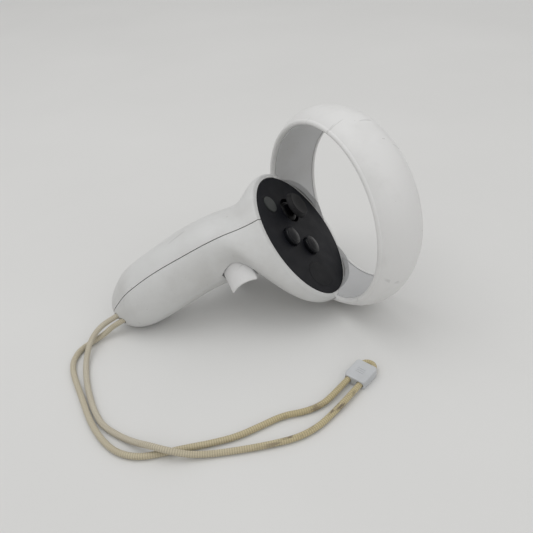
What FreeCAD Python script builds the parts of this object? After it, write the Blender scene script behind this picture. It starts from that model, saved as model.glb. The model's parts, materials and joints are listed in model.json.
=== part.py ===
"""Left-hand tracked motion controller: battery handle, control plate, tracking ring, triggers, wrist lanyard.

It is drawn in its plate frame: origin at the centre of the control plate's top face, +X towards the thumb
rest, +Y away from the user, +Z out of the plate. place() then lays the finished pieces on the table.
"""
import FreeCAD, Part
import math
import os

V = FreeCAD.Vector
X, Y, Z = V(1, 0, 0), V(0, 1, 0), V(0, 0, 1)
FAR = 150.0               # half-spaces reach this far

# ---- driving dimensions, millimetres and degrees ----
PLATE_HALF_X, PLATE_HALF_Y, PLATE_THICK = 30.7, 29.25, 2.0
CHASSIS_THICK = 1.6
SHELL_WALL = 2.2
RIM_FILLET = 1.1
FRAME_GAP, FRAME_WALL = 0.15, 1.0        # inner frame: clearance to the shells, thickness
SEAM_GAP = 0.4                           # battery cover to grip shell
FRAME_LAP = 3.0                          # inner frame reaches this far under the battery cover
RING_GAP = 0.15                          # shells to tracking ring
FIT_GAP = 0.15                           # plate to its surround, chassis to inner frame and the like

RING_LEAN = 55.0                         # ring axis, measured from the plate normal towards +Y
RING_CENTRE = V(0, -10.94, 16.65)        # in the plane of the ring's near rim
RING_WIDTH = 22.9
RING_LIP = 1.1
RING_INNER_NEAR, RING_INNER_FAR = 39.2, 35.55
RING_OUTER_NEAR, RING_OUTER_MID, RING_OUTER_FAR = 41.4, 45.0, 40.8
RING_WALL, RING_LINER = 1.8, 1.4
LINER_START = 3.0                        # from the near rim to the liner's edge
SURROUND_HALF_X, SURROUND_HALF_Y, SURROUND_DEPTH = 33.2, 31.6, 4.0
LED_COUNT, LED_FIRST, LED_STEP = 15, -205.0, 16.4
LED_SIZE = V(2.4, 2.4, 0.9)
STRIP_INSIDE, STRIP_OUTSIDE, STRIP_NEAR, STRIP_FAR, STRIP_END = 40.9, 41.2, 8.0, 15.0, 4.0

STICK = V(-12.8, -0.3, -4.5)             # the stick's pivot
STICK_WELL_RADIUS = 6.3
STICK_DOME_RADIUS, STICK_DOME_WALL = 6.5, 1.1
STICK_CAP_RADIUS, STICK_CAP_TOP, STICK_CAP_THICK = 6.6, 6.1, 2.6
STICK_DISH_RADIUS, STICK_DISH_DEPTH = 5.1, 0.9
STICK_STEM_RADIUS, STICK_STEM_FOOT = 2.3, 3.6            # its foot: up from the pivot
SHAFT_RADIUS, SHAFT_LENGTH, CROSS_PIN_RADIUS, CROSS_PIN_LENGTH = 1.1, 5.0, 0.6, 5.4
ROCKER_SIZE, ROCKER_SLOT = V(6.4, 5.6, 2.0), V(4.6, 2.9, 4.0)
ROCKER_PIN_RADIUS, ROCKER_PIN_LENGTH = 0.7, 1.4
CRADLE_RADIUS, CRADLE_BASE, CRADLE_DROP = 5.4, 1.2, 4.6  # drop: from the pivot to the base's underside
POST_SIZE, POST_SPREAD = V(1.2, 3.0, 5.0), 4.2
MODULE_WIDTH, MODULE_HEIGHT, MODULE_BORE, MODULE_FLOOR = 14.6, 4.2, 6.2, 1.0
STICK_OPENING_RADIUS = 7.3               # through chassis and board

BUTTON_RADIUS, BUTTON_PROUD, BUTTON_TRAVEL = 4.5, 2.9, 1.0
BUTTON_CROWN, BUTTON_CORNER = 0.6, 1.1
LOWER_BUTTON, UPPER_BUTTON = V(1.4, -11.5, 0), V(6.5, 1.5, 0)
MENU_RADIUS, MENU_PROUD, MENU_TRAVEL = 4.0, 0.7, 0.6
MENU_CROWN, MENU_CORNER = 0.15, 0.35
MENU_BUTTON = V(-15.7, -14.9, 0)
BUTTON_GAP = 0.2
FLANGE_EXTRA, FLANGE_THICK = 0.7, 0.9
THUMB_REST = V(20.8, -1.5, 0)
THUMB_REST_HALF_X, THUMB_REST_HALF_Y, THUMB_REST_THICK = 6.4, 9.0, 0.8

BOARD_TOP, BOARD_THICK = -6.6, 1.2
BOARD_HALF_X, BOARD_HALF_Y = 24.0, 21.0
SCREW_SPOTS = [V(-23.5, 4, 0), V(-3, -20, 0), V(15, -13, 0), V(14, 12, 0)]
BOSS_RADIUS, PILOT_RADIUS, SCREW_HOLE_RADIUS = 2.4, 0.85, 1.1
HEAD_RADIUS, HEAD_THICK, SHANK_RADIUS, SHANK_LENGTH, DRIVE_WIDTH = 1.9, 1.1, 0.8, 4.0, 0.5
FLANGE_GAP = 0.05                        # a key's flange to the plate
BELOW = -20.0                            # low enough to cut right through chassis and board

BATTERY_RADIUS, BATTERY_LENGTH = 7.2, 50.0
BATTERY_FOOT = V(-6.9, -43.2, -62.6)     # flat end's centre
BATTERY_AXIS = V(-0.06, 0.325, 0.944).normalize()
TRAY_GAP, TRAY_WALL = 0.3, 1.1
TRAY_FOOT, TRAY_HEAD = -5.4, BATTERY_LENGTH + 1.8
NUB_RADIUS, NUB_HEIGHT = 2.7, 1.2
CONTACT_RADIUS, CONTACT_THICK, CONTACT_GAP = 4.5, 0.4, 0.1
CONTACT_COIL_START = -3.95               # along the cell's axis
MOTOR_RADIUS, MOTOR_THICK, MOTOR_SPOT = 5.0, 3.6, V(9.0, -12.5, -12.8)

TRIGGER_PIVOT_Y, TRIGGER_PIVOT_Z = -6.5, -22.3
TRIGGER_MIDDLE_X, TRIGGER_WIDTH = -6.5, 14.0
TRIGGER_HUB_RADIUS, PIN_RADIUS, PIN_GAP = 3.2, 1.2, 0.05
TRIGGER_FILLET = 1.6
TRIGGER_SLOT_GAP = 0.6                   # each side of the trigger
PIN_OVERHANG = 1.2                       # a hinge pin's reach past its hub, into the shell
GRIP_PIVOT = V(5.6, -25.5, -9.6)
GRIP_BUTTON_LEAN = 14.0                  # its length against -Z, towards the user
SPRING_WIRE, SPRING_TURNS, COIL_POINTS = 0.6, 3, 12
TORSION_RADIUS, TORSION_PITCH = 2.0, 1.0
CONTACT_COIL_RADIUS, CONTACT_COIL_PITCH = 3.2, 1.2
SPRING_ROOM = 4.0                        # gap in a hub for its spring

LANYARD_RADIUS = 1.3
STRAND_A = V(-2.8, -52.9, -76.0)         # where the two strands leave the tail
STRAND_B = V(0.4, -52.3, -74.3)
TAIL_AXIS = V(0.0, -0.34, -0.94).normalize()
SLOT_GAP, SLOT_REACH = 0.35, 4.5         # tail slot: room round each strand, reach past its exit
ANCHOR_DEPTH = 5.5                       # from the exits in to the anchor's face
STRAND_LEAD = 5.0                        # each strand runs straight this far past its exit
LOCK_LENGTH, LOCK_WIDTH, LOCK_THICK = 10.6, 9.5, 4.2
LOCK_CENTRE, LOCK_TURN = V(15.2, -54.0, 2.1), 19.1       # on the table; heading from the row's +X
LOCK_CORNER, LOCK_EDGE = 1.6, 0.6
STRAND_SPACING, LOCK_BORE_GAP = 5.4, 0.2
LOCK_FOLD = 4.7                          # from the lock's centre to the centre of the cord's fold

# ---- how the controller lies on the table: on its ring, its trigger's tip and the side of its tail ----
TABLE_UP = V(-0.6214, -0.4689, 0.6277).normalize()
TABLE_POINT = V(27.52, -15.3, -31.46)   # on the table, below the middle of the controller's box


class Station:
    """One oval section of the handle, between a point on its back (user side) and one on its front."""

    def __init__(self, back, front, middle_x, half_x, egg=0.0):
        self.back, self.front = V(0, *back), V(0, *front)
        self.middle = (self.back + self.front) * 0.5 + X * middle_x
        self.half_x, self.egg = half_x, egg


# From the plate's rim down to the tail: back and front as (y, z). egg makes the front end the wider one.
STATIONS = [
    Station((-31.6, 0.0), (31.6, 0.0), 0.0, 33.2),
    Station((-33.6, -4.0), (27.8, -6.6), 0.4, 32.2),
    Station((-37.5, -9.0), (18.0, -14.0), -1.4, 25.4, 0.10),
    Station((-42.5, -16.0), (5.0, -22.0), -8.0, 17.1, 0.14),
    Station((-47.0, -25.5), (-9.0, -30.0), -9.0, 15.6, 0.06),
    Station((-50.5, -35.0), (-19.0, -40.5), -8.4, 15.2),
    Station((-54.0, -45.0), (-25.5, -52.0), -7.4, 15.0),
    Station((-56.0, -55.0), (-29.5, -63.0), -6.8, 14.8),
    Station((-57.0, -62.0), (-33.5, -71.5), -6.2, 13.8),
    Station((-56.3, -67.5), (-38.0, -76.5), -5.7, 11.5),
    Station((-54.7, -73.6), (-43.9, -79.3), -5.5, 7.5),
    Station((-52.8, -77.2), (-48.3, -79.2), -5.6, 3.0),
]
# The long seams of the battery cover, as (x, z): one down the back, one down the front.
BACK_SEAM = [(-8.1, 10), (-8.1, -20), (-8.1, -45), (-7.4, -58), (-6.2, -68), (-5.0, -84)]
FRONT_SEAM = [(-15.8, 10), (-15.8, -25), (-15.4, -40), (-13.5, -52), (-9.5, -65), (-6.2, -75), (-5.0, -84)]

RING_AXIS = V(0, math.sin(math.radians(RING_LEAN)), math.cos(math.radians(RING_LEAN)))
RING_DOWN = V(0, math.cos(math.radians(RING_LEAN)), -math.sin(math.radians(RING_LEAN)))


# ---- small helpers ----
def half_space(point, direction):
    return Part.makeCylinder(FAR, 2 * FAR, point, direction)


def spline(points, closed=False):
    curve = Part.BSplineCurve()
    curve.interpolate(Points=points, PeriodicFlag=closed)
    return curve.toShape()


def polygon_face(points):
    return Part.Face(Part.makePolygon(points + points[:1]))


def oval_prism(centre, half_x, half_y, low, high):
    """Upright prism on an ellipse; a circle where both halves are equal."""
    base = V(centre.x, centre.y, low)
    if abs(half_x - half_y) < 1e-6:
        return Part.makeCylinder(half_x, high - low, base, Z)
    if half_x > half_y:
        ellipse = Part.Ellipse(base, half_x, half_y)
    else:
        ellipse = Part.Ellipse(base + Y * half_y, base + X * half_x, base)
    return Part.Face(Part.Wire(ellipse.toShape())).extrude(Z * (high - low))


def ring_point(radius, height, angle=0.0):
    """A point about the ring's axis: height from the near rim, angle from +X towards the ring's bottom."""
    a = math.radians(angle)
    return RING_CENTRE + RING_AXIS * height + X * (radius * math.cos(a)) + RING_DOWN * (radius * math.sin(a))


def wire_coil(radius, pitch):
    """Coil of round wire that starts at the origin and winds up along Z."""
    turns = [i / COIL_POINTS for i in range(SPRING_TURNS * COIL_POINTS + 1)]
    curve = Part.BSplineCurve()
    curve.interpolate([V(radius * math.cos(2 * math.pi * t), radius * math.sin(2 * math.pi * t), pitch * t)
                       for t in turns])
    start, end = curve.FirstParameter, curve.LastParameter
    section = Part.Wire(Part.makeCircle(SPRING_WIRE / 2, curve.value(start), curve.tangent(start)[0]))
    return Part.Wire(curve.toShape(start, end)).makePipeShell([section], True, False)


def torsion_spring(centre, axis):
    """Spring wound round a hinge pin, in the gap left in the hub."""
    coil = wire_coil(TORSION_RADIUS, TORSION_PITCH)
    start = centre - axis * (TORSION_PITCH * SPRING_TURNS / 2)
    coil.Placement = FreeCAD.Placement(start, FreeCAD.Rotation(Z, axis))
    return coil


# ---- handle shells ----
def section(station, inset, points=24):
    along = station.front - station.back
    half_length = along.Length / 2 - inset
    half_x = station.half_x - inset
    along.normalize()
    ring = []
    for i in range(points):
        turn = 2 * math.pi * i / points
        width = half_x * math.cos(turn) * (1 + station.egg * math.sin(turn))
        ring.append(station.middle + X * width + along * (half_length * math.sin(turn)))
    return Part.Wire(spline(ring, closed=True))


def handle_solid(inset):
    """The handle's full outline, or the same drawn in by inset; the inner ones stop short of the tail."""
    stations = STATIONS if inset == 0 else STATIONS[:-1]
    return Part.makeLoft([section(s, inset) for s in stations], True, False)


def side_of_seam(seam, shift):
    """Everything on the -X side of a seam, as a thick block across the handle."""
    curve = [V(x + shift, -FAR, z) for x, z in seam]
    first, last = curve[0], curve[-1]
    corners = Part.makePolygon([last, V(-FAR, -FAR, last.z), V(-FAR, -FAR, first.z), first])
    return Part.Face(Part.Wire([spline(curve)] + corners.Edges)).extrude(Y * (2 * FAR))


def back_half():
    """Everything on the user's side of the handle's middle line."""
    middles = [V(-FAR, s.middle.y, s.middle.z) for s in STATIONS]
    curve = [middles[0] + V(0, 4, 12)] + middles + [middles[-1] + V(0, -3, -8)]
    first, last = curve[0], curve[-1]
    corners = Part.makePolygon([last, V(-FAR, -FAR, last.z), V(-FAR, -FAR, first.z), first])
    return Part.Face(Part.Wire([spline(curve)] + corners.Edges)).extrude(X * (2 * FAR))


def cover_region(shift):
    back = back_half()
    return side_of_seam(BACK_SEAM, shift).common(back).fuse(side_of_seam(FRONT_SEAM, shift).cut(back))


def strand_start(exit_point):
    """Where a strand meets the anchor's face, straight in from its exit."""
    middle = (STRAND_A + STRAND_B) * 0.5
    return exit_point - TAIL_AXIS * ((exit_point - middle).dot(TAIL_AXIS) + ANCHOR_DEPTH)


def tail_slot():
    """The slot that both lanyard strands leave by."""
    slot = []
    for exit_point in (STRAND_A, STRAND_B):
        start = strand_start(exit_point)
        length = (exit_point - start).Length + SLOT_REACH
        slot.append(Part.makeCylinder(LANYARD_RADIUS + SLOT_GAP, length, start, TAIL_AXIS))
    return slot[0].fuse(slot[1])


def handle_shells():
    outer = handle_solid(0)
    rim = [e for e in outer.Edges if e.BoundBox.ZMin > -0.01]
    outer = outer.makeFillet(RIM_FILLET, rim)
    cavity = handle_solid(SHELL_WALL)
    shell = outer.cut(cavity).common(half_space(RING_CENTRE - RING_AXIS * RING_GAP, -RING_AXIS))
    shell = shell.cut(trigger_slot()).cut(grip_button_pocket()).cut(grip_hub_room())
    shell = shell.cut(tail_slot()).cut(lanyard_anchor()).cut(trigger_pin())
    grip_shell = shell.cut(cover_region(SEAM_GAP / 2))
    battery_cover = shell.common(cover_region(-SEAM_GAP / 2))
    return grip_shell, battery_cover


def inner_frame():
    """Dark frame inside the handle: it closes the seams from behind and is open over the battery."""
    outer = handle_solid(SHELL_WALL + FRAME_GAP)
    cavity = handle_solid(SHELL_WALL + FRAME_GAP + FRAME_WALL)
    top = half_space(V(0, 0, -PLATE_THICK - CHASSIS_THICK - 0.3), -Z)
    frame = outer.cut(cavity).common(half_space(RING_CENTRE - RING_AXIS * 1.5, -RING_AXIS)).common(top)
    frame = frame.cut(cover_region(-FRAME_LAP)).cut(trigger_slot()).cut(grip_button_pocket())
    frame = frame.cut(grip_hub_room()).cut(grip_button_pin()).cut(trigger_pin()).cut(lanyard_anchor())
    bay = Part.makeCylinder(BATTERY_RADIUS + TRAY_GAP + TRAY_WALL + 0.2, 70, BATTERY_FOOT - BATTERY_AXIS * 8,
                            BATTERY_AXIS)
    return frame.cut(bay).cut(tail_slot())


# ---- tracking ring ----
def outer_curve(offset):
    """The ring's bulged outer wall, from the near lip to the far one, drawn in by offset."""
    near, far = RING_LIP, RING_WIDTH - RING_LIP
    radii = [RING_OUTER_NEAR, RING_OUTER_NEAR + 0.75 * (RING_OUTER_MID - RING_OUTER_NEAR), RING_OUTER_MID,
             RING_OUTER_FAR + 0.72 * (RING_OUTER_MID - RING_OUTER_FAR), RING_OUTER_FAR]
    heights = [near, 0.25 * RING_WIDTH, 0.5 * RING_WIDTH, 0.76 * RING_WIDTH, far]
    return [ring_point(r - offset, h) for r, h in zip(radii, heights)]


def plate_opening(low):
    """Room for the plate, reaching up past where the ring's lower edge meets it."""
    return oval_prism(V(), PLATE_HALF_X + FIT_GAP, PLATE_HALF_Y + FIT_GAP, low, 12)


def ring_shell_outer():
    wall = outer_curve(0)
    hollow = outer_curve(RING_WALL)
    near_inside, near_top = ring_point(RING_INNER_NEAR, RING_LIP), ring_point(RING_INNER_NEAR + RING_LIP, 0)
    far_outside = ring_point(RING_OUTER_FAR - RING_LIP, RING_WIDTH)
    far_inside = ring_point(RING_INNER_FAR + RING_LIP, RING_WIDTH)
    far_corner = ring_point(RING_INNER_FAR, RING_WIDTH - RING_LIP)
    bend = RING_LIP * (1 - math.sqrt(0.5))
    far_arc = ring_point(RING_OUTER_FAR - bend, RING_WIDTH - bend)
    corner_arc = ring_point(RING_INNER_FAR + bend, RING_WIDTH - bend)
    edges = [Part.Arc(near_inside, near_top, wall[0]).toShape(),
             spline(wall),
             Part.Arc(wall[-1], far_arc, far_outside).toShape(),
             Part.LineSegment(far_outside, far_inside).toShape(),
             Part.Arc(far_inside, corner_arc, far_corner).toShape()]
    flange = RING_WIDTH - RING_WALL
    inside = [far_corner, ring_point(RING_INNER_FAR, flange), ring_point(RING_OUTER_FAR - 1.6, flange)]
    edges += Part.makePolygon(inside).Edges
    back = [inside[-1]] + hollow[3:0:-1] + [ring_point(RING_OUTER_NEAR - 0.6, RING_LIP + 1.8)]
    edges.append(spline(back))
    edges += Part.makePolygon([back[-1], ring_point(RING_INNER_NEAR, RING_LIP + 1.0), near_inside]).Edges
    band = Part.Face(Part.Wire(Part.__sortEdges__(edges))).revolve(RING_CENTRE, RING_AXIS, 360)
    ahead = half_space(RING_CENTRE, RING_AXIS)
    surround = oval_prism(V(), SURROUND_HALF_X, SURROUND_HALF_Y, -SURROUND_DEPTH, 0).common(ahead)
    return band.fuse(surround).cut(plate_opening(-SURROUND_DEPTH - 0.01))


def ring_shell_inner():
    near, far = LINER_START, RING_WIDTH - RING_WALL - 0.1
    slope = (RING_INNER_FAR - RING_INNER_NEAR) / RING_WIDTH
    near_r, far_r = RING_INNER_NEAR + slope * near, RING_INNER_NEAR + slope * far
    corners = [ring_point(near_r, near), ring_point(far_r, far), ring_point(far_r + RING_LINER, far),
               ring_point(near_r + RING_LINER, near)]
    band = polygon_face(corners).revolve(RING_CENTRE, RING_AXIS, 360)
    return band.common(half_space(V(0, 0, 0.1), Z)).cut(plate_opening(-1))


def led_strip():
    """Thin circuit band inside the ring, over its free arc."""
    corners = [ring_point(STRIP_INSIDE, STRIP_NEAR), ring_point(STRIP_INSIDE, STRIP_FAR),
               ring_point(STRIP_OUTSIDE, STRIP_FAR), ring_point(STRIP_OUTSIDE, STRIP_NEAR)]
    span = LED_STEP * (LED_COUNT - 1) + 2 * STRIP_END
    band = polygon_face(corners).revolve(RING_CENTRE, RING_AXIS, span)
    return band.rotate(RING_CENTRE, RING_AXIS, LED_FIRST - STRIP_END)


def ring_leds():
    leds = []
    for i in range(LED_COUNT):
        angle = LED_FIRST + LED_STEP * i
        middle = ring_point(STRIP_OUTSIDE + 0.05, (STRIP_NEAR + STRIP_FAR) / 2, angle)
        out = (ring_point(1, 0, angle) - RING_CENTRE).normalize()
        led = Part.makeBox(*LED_SIZE, V(-LED_SIZE.x / 2, -LED_SIZE.y / 2, 0))
        led.Placement = FreeCAD.Placement(middle,
                                          FreeCAD.Rotation(RING_AXIS.cross(out), RING_AXIS, out, "ZXY"))
        leds.append(led)
    return Part.makeCompound(leds)


# ---- control plate and what sits in it ----
def button_hole(centre, radius):
    return oval_prism(centre, radius + BUTTON_GAP, radius + BUTTON_GAP, -PLATE_THICK - 1, 1)


def face_plate():
    plate = oval_prism(V(), PLATE_HALF_X, PLATE_HALF_Y, -PLATE_THICK, 0)
    top = [e for e in plate.Edges if e.BoundBox.ZMin > -0.01 and len(e.Vertexes) == 1]
    plate = plate.makeFillet(0.3, top)
    plate = plate.cut(oval_prism(STICK, STICK_WELL_RADIUS, STICK_WELL_RADIUS, -PLATE_THICK - 1, 1))
    for centre, radius in ((LOWER_BUTTON, BUTTON_RADIUS), (UPPER_BUTTON, BUTTON_RADIUS),
                           (MENU_BUTTON, MENU_RADIUS)):
        plate = plate.cut(button_hole(centre, radius))
    inlay = oval_prism(THUMB_REST, THUMB_REST_HALF_X + 0.1, THUMB_REST_HALF_Y + 0.1, -THUMB_REST_THICK, 1)
    return plate.cut(inlay)


def thumb_rest():
    return oval_prism(THUMB_REST, THUMB_REST_HALF_X, THUMB_REST_HALF_Y, -THUMB_REST_THICK, 0.05)


def chassis():
    """Stiffener under the plate, with bosses for the screws that hold the board."""
    low = -PLATE_THICK - CHASSIS_THICK
    body = oval_prism(V(), PLATE_HALF_X - 0.4, PLATE_HALF_Y - 0.4, low, -PLATE_THICK)
    for spot in SCREW_SPOTS:
        body = body.fuse(Part.makeCylinder(BOSS_RADIUS, low - BOARD_TOP, V(spot.x, spot.y, BOARD_TOP), Z))
    body = body.cut(oval_prism(STICK, STICK_OPENING_RADIUS, STICK_OPENING_RADIUS, BELOW, 1))
    for centre, radius in ((LOWER_BUTTON, BUTTON_RADIUS), (UPPER_BUTTON, BUTTON_RADIUS),
                           (MENU_BUTTON, MENU_RADIUS)):
        hole = radius + FLANGE_EXTRA + 0.4
        body = body.cut(oval_prism(centre, hole, hole, BELOW, 1))
    for spot in SCREW_SPOTS:
        pilot_foot = V(spot.x, spot.y, BOARD_TOP - 1)
        body = body.cut(Part.makeCylinder(PILOT_RADIUS, SHANK_LENGTH + 0.6, pilot_foot, Z))
    return body


def face_button(centre):
    return round_key(centre, BUTTON_RADIUS, BUTTON_PROUD, BUTTON_CROWN, BUTTON_CORNER)


def menu_button():
    return round_key(MENU_BUTTON, MENU_RADIUS, MENU_PROUD, MENU_CROWN, MENU_CORNER)


def round_key(centre, radius, proud, crown, corner):
    """Round key with a domed top and a flange under the plate that keeps it in."""
    flange_top = -PLATE_THICK - FLANGE_GAP
    edge, rim_z, skirt_z = radius - corner, proud - crown, proud - crown - corner
    bend = corner * (1 - math.sqrt(0.5))
    ball = (edge ** 2 + crown ** 2) / (2 * crown)
    halfway = proud - ball + math.sqrt(ball ** 2 - edge ** 2 / 4)
    profile = Part.Wire([
        Part.LineSegment(V(0, 0, flange_top), V(radius, 0, flange_top)).toShape(),
        Part.LineSegment(V(radius, 0, flange_top), V(radius, 0, skirt_z)).toShape(),
        Part.Arc(V(radius, 0, skirt_z), V(radius - bend, 0, rim_z - bend), V(edge, 0, rim_z)).toShape(),
        Part.Arc(V(edge, 0, rim_z), V(edge / 2, 0, halfway), V(0, 0, proud)).toShape(),
        Part.LineSegment(V(0, 0, proud), V(0, 0, flange_top)).toShape()])
    key = Part.Face(profile).revolve(V(), Z, 360)
    key.translate(V(centre.x, centre.y, 0))
    flange = Part.makeCylinder(radius + FLANGE_EXTRA, FLANGE_THICK,
                               V(centre.x, centre.y, flange_top - FLANGE_THICK), Z)
    return flange.fuse(key)


def switch_domes():
    """Dome switches on the board, one under each key, a little more than the key's travel below it."""
    domes = []
    for centre, travel in ((LOWER_BUTTON, BUTTON_TRAVEL), (UPPER_BUTTON, BUTTON_TRAVEL),
                           (MENU_BUTTON, MENU_TRAVEL)):
        top = -PLATE_THICK - FLANGE_GAP - FLANGE_THICK - travel - 0.15
        domes.append(Part.makeCone(2.6, 1.6, top - BOARD_TOP, V(centre.x, centre.y, BOARD_TOP), Z))
    return Part.makeCompound(domes)


def control_board():
    low = BOARD_TOP - BOARD_THICK
    board = oval_prism(V(-1, -3, 0), BOARD_HALF_X, BOARD_HALF_Y, low, BOARD_TOP)
    board = board.common(half_space(RING_CENTRE + RING_AXIS * 3, -RING_AXIS))
    board = board.cut(oval_prism(STICK, STICK_OPENING_RADIUS, STICK_OPENING_RADIUS, BELOW, 1))
    for spot in SCREW_SPOTS:
        board = board.cut(Part.makeCylinder(SCREW_HOLE_RADIUS, 4, V(spot.x, spot.y, low - 1), Z))
    return board


def chassis_screws():
    screws = []
    for spot in SCREW_SPOTS:
        head_top = BOARD_TOP - BOARD_THICK
        head = Part.makeCylinder(HEAD_RADIUS, HEAD_THICK, V(spot.x, spot.y, head_top - HEAD_THICK), Z)
        shank = Part.makeCylinder(SHANK_RADIUS, SHANK_LENGTH, V(spot.x, spot.y, head_top), Z)
        slot = Part.makeBox(2 * SCREW_HOLE_RADIUS, DRIVE_WIDTH, DRIVE_WIDTH,
                            V(spot.x - SCREW_HOLE_RADIUS, spot.y - DRIVE_WIDTH / 2, head_top - HEAD_THICK))
        screws.append(head.fuse(shank).cut(slot))
    return Part.makeCompound(screws)


# ---- thumbstick ----
def stick_cap():
    """Rubber cap: a shallow dish inside a rounded, sloping rim, on a collar round the stem."""
    top, low = STICK_CAP_TOP, STICK_CAP_TOP - STICK_CAP_THICK
    r, dish_r, dish = STICK_CAP_RADIUS, STICK_DISH_RADIUS, STICK_DISH_DEPTH
    ball = (dish_r ** 2 + dish ** 2) / (2 * dish)
    halfway = top - dish + ball - math.sqrt(ball ** 2 - dish_r ** 2 / 4)
    collar = STICK_STEM_RADIUS + 1
    corners = [V(0, 0, top - dish), V(0, 0, low + 0.3), V(STICK_STEM_RADIUS, 0, low + 0.3),
               V(STICK_STEM_RADIUS, 0, low - 0.7), V(collar, 0, low - 0.7), V(collar + 0.6, 0, low),
               V(r - 0.6, 0, low)]
    brow = V(dish_r + 0.5, 0, top - 0.15)
    edges = Part.makePolygon(corners).Edges
    edges += [Part.Arc(corners[-1], V(r - 0.18, 0, low + 0.18), V(r, 0, low + 0.6)).toShape(),
              Part.Arc(V(r, 0, low + 0.6), V(r - 0.3, 0, low + 1.5), brow).toShape(),
              Part.Arc(brow, V(dish_r + 0.25, 0, top), V(dish_r, 0, top)).toShape(),
              Part.Arc(V(dish_r, 0, top), V(dish_r / 2, 0, halfway), corners[0]).toShape()]
    cap = Part.Face(Part.Wire(edges)).revolve(V(), Z, 360)
    cap.translate(V(STICK.x, STICK.y, 0))
    return cap


def stick_dome():
    """Dust dome, stem and cross pin in one piece; it turns with the stick about the pivot."""
    shell = Part.makeSphere(STICK_DOME_RADIUS, STICK).cut(
        Part.makeSphere(STICK_DOME_RADIUS - STICK_DOME_WALL, STICK))
    shell = shell.common(half_space(STICK - Z * 0.6, Z))
    stem_top = STICK_CAP_TOP - STICK_CAP_THICK + 0.3
    stem = Part.makeCylinder(STICK_STEM_RADIUS, stem_top - STICK.z - STICK_STEM_FOOT,
                             STICK + Z * STICK_STEM_FOOT, Z)
    shaft = Part.makeCylinder(SHAFT_RADIUS, SHAFT_LENGTH, STICK - Z * SHAFT_RADIUS, Z)
    pin = Part.makeCylinder(CROSS_PIN_RADIUS, CROSS_PIN_LENGTH, STICK - Y * (CROSS_PIN_LENGTH / 2), Y)
    return shell.fuse(stem).fuse(shaft).fuse(pin)


def stick_rocker():
    """Small frame round the shaft: it tips about X, and the stick tips in it about Y."""
    body = Part.makeBox(*ROCKER_SIZE, STICK - ROCKER_SIZE * 0.5)
    body = body.cut(Part.makeBox(*ROCKER_SLOT, STICK - ROCKER_SLOT * 0.5))
    body = body.cut(Part.makeCylinder(CROSS_PIN_RADIUS + PIN_GAP, 8, STICK - Y * 4, Y))
    pins = [Part.makeCylinder(ROCKER_PIN_RADIUS, ROCKER_PIN_LENGTH, STICK + X * (side * ROCKER_SIZE.x / 2),
                              X * side) for side in (-1, 1)]
    return body.fuse(pins[0]).fuse(pins[1])


def stick_cradle():
    """Base with two posts that carry the rocker; it drops when the stick is clicked."""
    cradle = Part.makeCylinder(CRADLE_RADIUS, CRADLE_BASE, STICK - Z * CRADLE_DROP, Z)
    for side in (-1, 1):
        corner = V(side * POST_SPREAD - POST_SIZE.x / 2, -POST_SIZE.y / 2, CRADLE_BASE / 2 - CRADLE_DROP)
        cradle = cradle.fuse(Part.makeBox(*POST_SIZE, STICK + corner))
    return cradle.cut(Part.makeCylinder(ROCKER_PIN_RADIUS + PIN_GAP, 16, STICK - X * 8, X))


def stick_module():
    """Sensor housing under the stick: an open box with a floor, fixed to the board."""
    top = BOARD_TOP - BOARD_THICK - 0.1
    corner = V(STICK.x - MODULE_WIDTH / 2, STICK.y - MODULE_WIDTH / 2, top - MODULE_HEIGHT)
    outer = Part.makeBox(MODULE_WIDTH, MODULE_WIDTH, MODULE_HEIGHT, corner)
    floor = top - MODULE_HEIGHT + MODULE_FLOOR
    return outer.cut(Part.makeCylinder(MODULE_BORE, MODULE_HEIGHT, V(STICK.x, STICK.y, floor), Z))


# ---- index trigger ----
def trigger_profile():
    """Side view of the trigger: (y, z) from under the ring down to the hooked tip and back to the hub."""
    front = [(7.6, -20.2), (2.6, -26.5), (0.9, -33.0), (2.2, -39.0), (5.2, -43.2)]
    back = [(1.5, -45.0), (-3.6, -40.6), (-6.3, -34.5), (-8.6, -28.2)]
    points = [V(0, *p) for p in front]
    behind = [V(0, *p) for p in back]
    hub = [V(0, -9.5, -22.5), V(0, -4.5, -19.3)]
    return Part.Wire([spline(points)] + Part.makePolygon([points[-1], behind[0]]).Edges + [spline(behind)]
                     + Part.makePolygon([behind[-1]] + hub + [points[0]]).Edges)


def trigger_blank(width):
    low_x = TRIGGER_MIDDLE_X - width / 2
    profile = Part.Face(trigger_profile())
    profile.translate(X * low_x)
    return profile.extrude(X * width)


def index_trigger():
    blank = trigger_blank(TRIGGER_WIDTH)
    curved = [e for e in blank.Edges if e.BoundBox.XLength < 0.01 and e.Length > 15]
    blank = blank.makeFillet(TRIGGER_FILLET, curved)
    pivot = V(0, TRIGGER_PIVOT_Y, TRIGGER_PIVOT_Z)
    hub_start = pivot + X * (TRIGGER_MIDDLE_X - TRIGGER_WIDTH / 2)
    blank = blank.fuse(Part.makeCylinder(TRIGGER_HUB_RADIUS, TRIGGER_WIDTH, hub_start, X))
    bore = Part.makeCylinder(PIN_RADIUS + PIN_GAP, 30, pivot + X * (TRIGGER_MIDDLE_X - 15), X)
    coil_room = Part.makeCylinder(TRIGGER_HUB_RADIUS + 0.6, SPRING_ROOM,
                                 hub_start + X * ((TRIGGER_WIDTH - SPRING_ROOM) / 2), X)
    return blank.cut(bore).cut(coil_room)


def trigger_slot():
    """Opening in the handle's front for the trigger, over its whole sweep."""
    room = TRIGGER_WIDTH + 2 * TRIGGER_SLOT_GAP
    outline = [(12, -14), (12, -24), (-4, -47), (-15, -44), (-14.5, -30), (-13.5, -20), (-4, -17)]
    face = polygon_face([V(TRIGGER_MIDDLE_X - room / 2, y, z) for y, z in outline])
    return face.extrude(X * room)


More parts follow.
